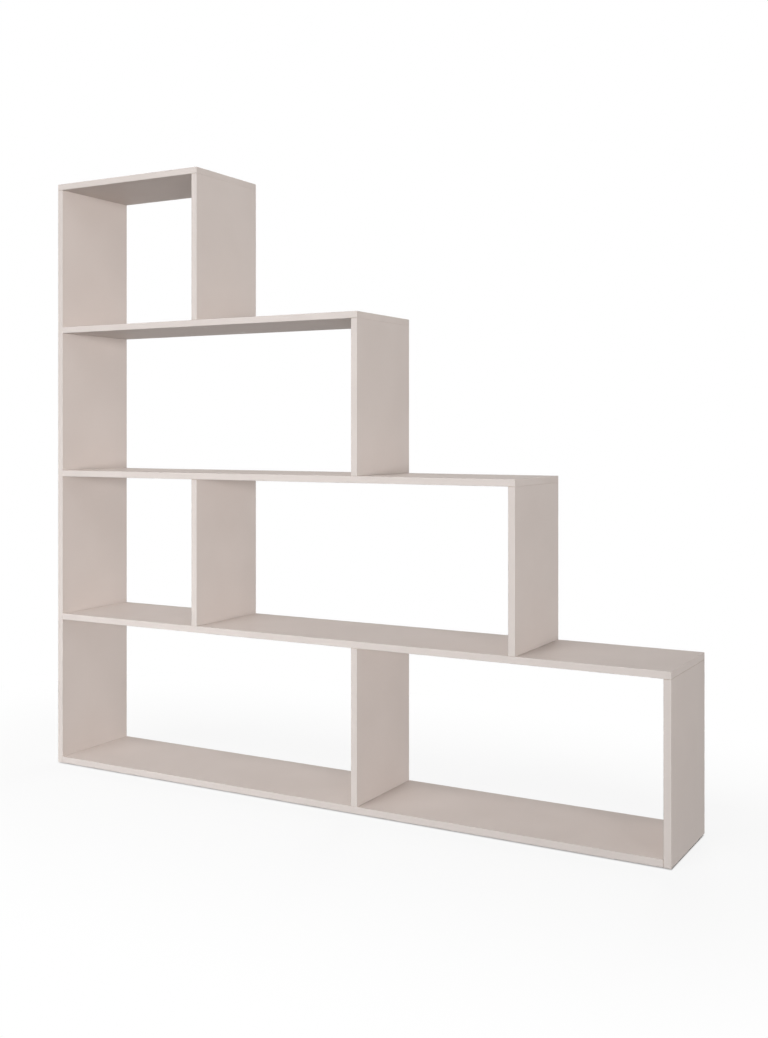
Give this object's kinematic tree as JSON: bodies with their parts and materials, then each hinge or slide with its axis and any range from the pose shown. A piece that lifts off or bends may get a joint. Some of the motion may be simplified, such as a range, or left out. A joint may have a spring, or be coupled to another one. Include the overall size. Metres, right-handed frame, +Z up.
{
  "type": "staircase bookshelf",
  "caption": "Open-backed staircase bookshelf of edged melamine boards whose tiers step down from a tall side, for books, boxes and ornaments or as a room divider.",
  "frame": {"origin": "on the floor, under the middle of the width and of the depth", "axes": "+X from the tall side to the low side, +Y from the front to the rear, +Z up"},
  "size_m": [1.5605, 0.24, 1.45],
  "materials": {
    "melamine_board": "matt taupe melamine on chipboard",
    "edging": "matt taupe plastic edging",
    "screw_steel": "zinc-plated steel",
    "dowel_wood": "plain beech",
    "cap_plastic": "matt taupe plastic",
    "glide_plastic": "matt dark plastic"
  },
  "bodies": {
    "root": {"bottom_board": "melamine_board", "bottom_board_front_edging": "edging", "bottom_board_rear_edging": "edging", "bottom_board_screws": "screw_steel", "floor_glides": "glide_plastic", "left_side_panel": "melamine_board", "left_side_panel_front_edging": "edging", "left_side_panel_rear_edging": "edging", "left_side_panel_screws": "screw_steel", "lower_shelf": "melamine_board", "lower_shelf_dowels": "dowel_wood", "lower_shelf_front_edging": "edging", "lower_shelf_rear_edging": "edging", "lower_shelf_right_edging": "edging", "lower_shelf_screws": "screw_steel", "middle_shelf": "melamine_board", "middle_shelf_dowels": "dowel_wood", "middle_shelf_front_edging": "edging", "middle_shelf_rear_edging": "edging", "middle_shelf_right_edging": "edging", "middle_shelf_screws": "screw_steel", "screw_cover_caps": "cap_plastic", "tier_1_divider": "melamine_board", "tier_1_divider_front_edging": "edging", "tier_1_divider_rear_edging": "edging", "tier_1_side_panel": "melamine_board", "tier_1_side_panel_dowels": "dowel_wood", "tier_1_side_panel_front_edging": "edging", "tier_1_side_panel_rear_edging": "edging", "tier_2_divider": "melamine_board", "tier_2_divider_front_edging": "edging", "tier_2_divider_rear_edging": "edging", "tier_2_side_panel": "melamine_board", "tier_2_side_panel_front_edging": "edging", "tier_2_side_panel_rear_edging": "edging", "tier_3_side_panel": "melamine_board", "tier_3_side_panel_front_edging": "edging", "tier_3_side_panel_rear_edging": "edging", "tier_4_side_panel": "melamine_board", "tier_4_side_panel_front_edging": "edging", "tier_4_side_panel_rear_edging": "edging", "top_board": "melamine_board", "top_board_dowels": "dowel_wood", "top_board_front_edging": "edging", "top_board_left_edging": "edging", "top_board_rear_edging": "edging", "top_board_right_edging": "edging", "upper_shelf": "melamine_board", "upper_shelf_dowels": "dowel_wood", "upper_shelf_front_edging": "edging", "upper_shelf_rear_edging": "edging", "upper_shelf_right_edging": "edging", "upper_shelf_screws": "screw_steel"}
  },
  "joints": []
}
